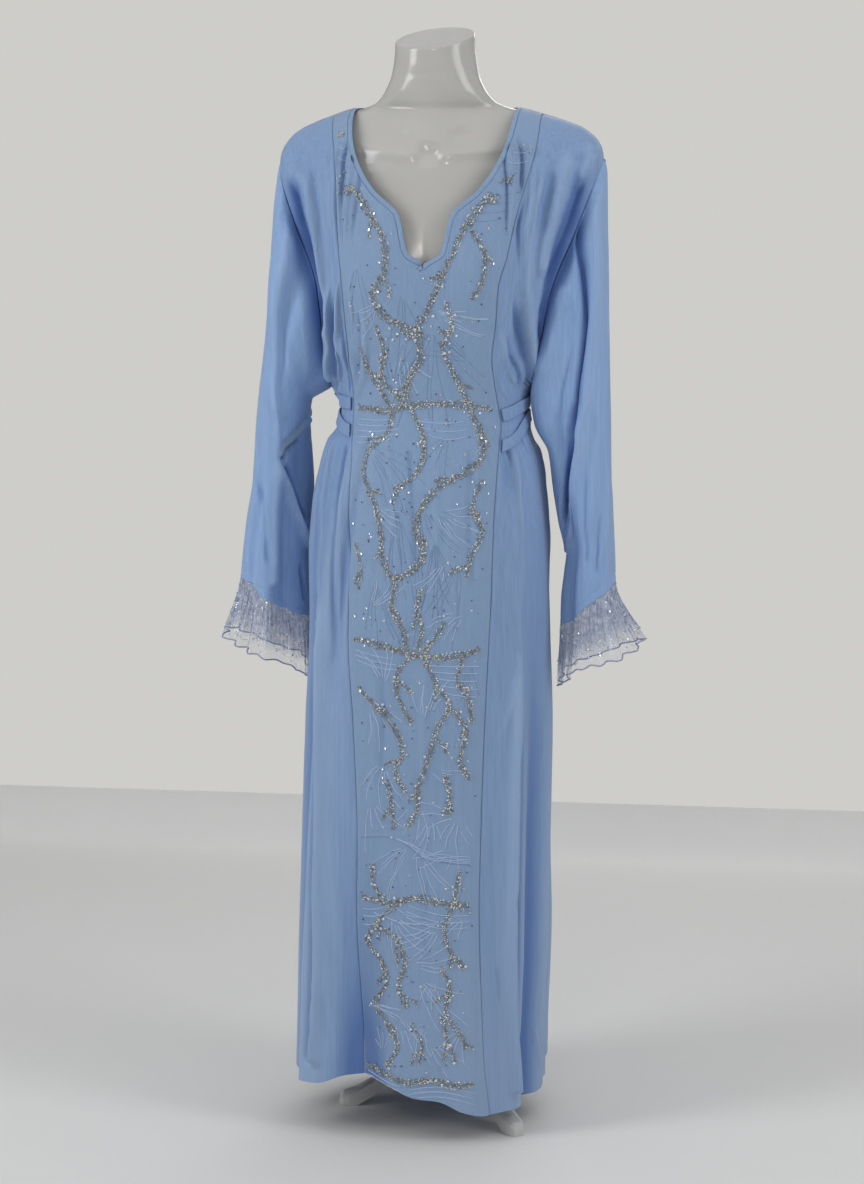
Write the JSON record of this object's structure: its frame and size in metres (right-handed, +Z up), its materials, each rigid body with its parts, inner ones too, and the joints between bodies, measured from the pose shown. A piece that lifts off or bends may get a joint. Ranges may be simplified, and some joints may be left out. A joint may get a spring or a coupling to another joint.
{
  "type": "robe on dress form",
  "caption": "Long pale blue robe with an embroidered front panel, notched neck, waist ties and lace cuffs, on a limbless glossy dress form with a legged stand.",
  "frame": {"origin": "on the floor, at the middle of the whole seen from above", "axes": "+Z up, front towards -Y, +X to the right as seen from the front"},
  "size_m": [0.6142, 0.364, 1.5626],
  "materials": {
    "plain_blue": "soft crepe with a faint upright slub and a low sheen",
    "embroidered_blue": "crepe under a sheer embroidered and beaded layer",
    "lace": "glitter lace, sheer towards its edge",
    "gloss_white": "glossy",
    "stand_grey": "satin"
  },
  "bodies": {
    "root": {"front_panel": "embroidered_blue", "side_front_left": "plain_blue", "side_front_right": "plain_blue", "back_left": "plain_blue", "back_right": "plain_blue", "sleeve_left": "plain_blue", "sleeve_right": "plain_blue", "ruffle_left": "lace", "ruffle_right": "lace", "belt_upper": "plain_blue", "belt_lower": "plain_blue", "neck_binding": "plain_blue", "form_torso": "gloss_white", "pole": "stand_grey", "hub": "stand_grey", "leg_1": "stand_grey", "leg_2": "stand_grey", "leg_3": "stand_grey"}
  },
  "joints": []
}
